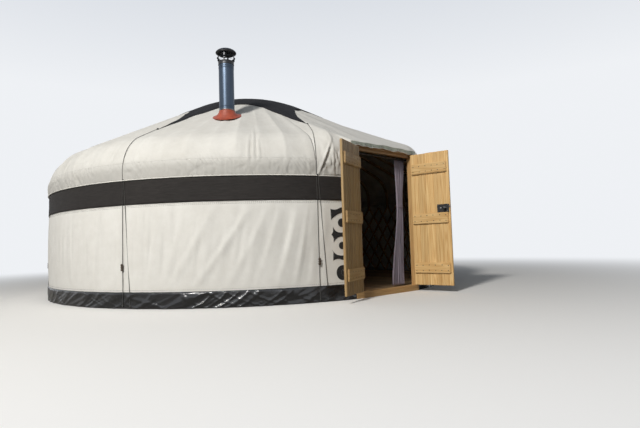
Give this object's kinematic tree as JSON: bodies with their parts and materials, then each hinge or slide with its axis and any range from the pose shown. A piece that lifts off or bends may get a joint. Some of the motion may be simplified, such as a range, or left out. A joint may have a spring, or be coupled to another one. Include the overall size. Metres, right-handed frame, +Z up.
{
  "type": "yurt",
  "caption": "Round lattice-walled tent with a bent-pole roof, cloth cover, star-shaped crown cap, stove flue and a boarded double door.",
  "frame": {"origin": "centre of the round room, on the ground", "axes": "+Z up, the door faces -Y"},
  "size_m": [6.1126, 6.6052, 3.2842],
  "materials": {
    "white_canvas": "woven canvas",
    "band_cloth": "woven canvas",
    "skirt_cloth": "coated cloth",
    "cap_cloth": "woven canvas",
    "lattice_wood": "planed",
    "roof_wood": "planed",
    "floor_wood": "planed",
    "frame_wood": "oiled",
    "door_wood": "oiled",
    "black_iron": "black paint",
    "rope": "braided cord",
    "cleat_wood": "oiled",
    "flue_steel": "brushed",
    "cowl_steel": "black paint",
    "boot_rubber": "matte",
    "curtain_cloth": "plain weave",
    "rail_metal": "black paint",
    "scroll_felt": "felt"
  },
  "bodies": {
    "frame": {"band_left": "band_cloth", "band_right": "band_cloth", "crown_ribs": "roof_wood", "crown_ring": "roof_wood", "curtain": "curtain_cloth", "curtain_rail": "rail_metal", "door_head": "frame_wood", "door_jambs": "frame_wood", "door_poles": "roof_wood", "door_sill": "frame_wood", "floor_boards": "floor_wood", "floor_joists": "floor_wood", "flue_boot": "boot_rubber", "flue_cowl": "cowl_steel", "flue_pipe": "flue_steel", "guy_ropes": "rope", "hinge_flaps": "black_iron", "lattice_1": "lattice_wood", "lattice_2": "lattice_wood", "lattice_3": "lattice_wood", "lattice_4": "lattice_wood", "roof_cloth_door_bay": "white_canvas", "roof_cloth_left_back": "white_canvas", "roof_cloth_left_front": "white_canvas", "roof_cloth_right_back": "white_canvas", "roof_cloth_right_front": "white_canvas", "roof_poles_left": "roof_wood", "roof_poles_right": "roof_wood", "rope_cleats": "cleat_wood", "scroll_panels": "scroll_felt", "skirt_left_back": "skirt_cloth", "skirt_left_front": "skirt_cloth", "skirt_right_back": "skirt_cloth", "skirt_right_front": "skirt_cloth", "star_cap": "cap_cloth", "wall_cloth_left_back": "white_canvas", "wall_cloth_left_front": "white_canvas", "wall_cloth_right_back": "white_canvas", "wall_cloth_right_front": "white_canvas"},
    "left_leaf": {"left_leaf_boards": "door_wood", "left_leaf_ledges": "door_wood", "left_leaf_straps": "black_iron"},
    "right_leaf": {"right_leaf_boards": "door_wood", "right_leaf_ledges": "door_wood", "right_leaf_straps": "black_iron", "lock_case": "black_iron"}
  },
  "joints": [
    {"name": "left_leaf_hinge", "type": "hinge", "parent": "frame", "child": "left_leaf", "pos_m": [-0.532, -3.023, 0.9385], "axis": [0, 0, 1], "range_deg": [-12, 157.5]},
    {"name": "right_leaf_hinge", "type": "hinge", "parent": "frame", "child": "right_leaf", "pos_m": [0.532, -3.023, 0.9385], "axis": [0, 0, 1], "range_deg": [-100.3, 70]}
  ]
}
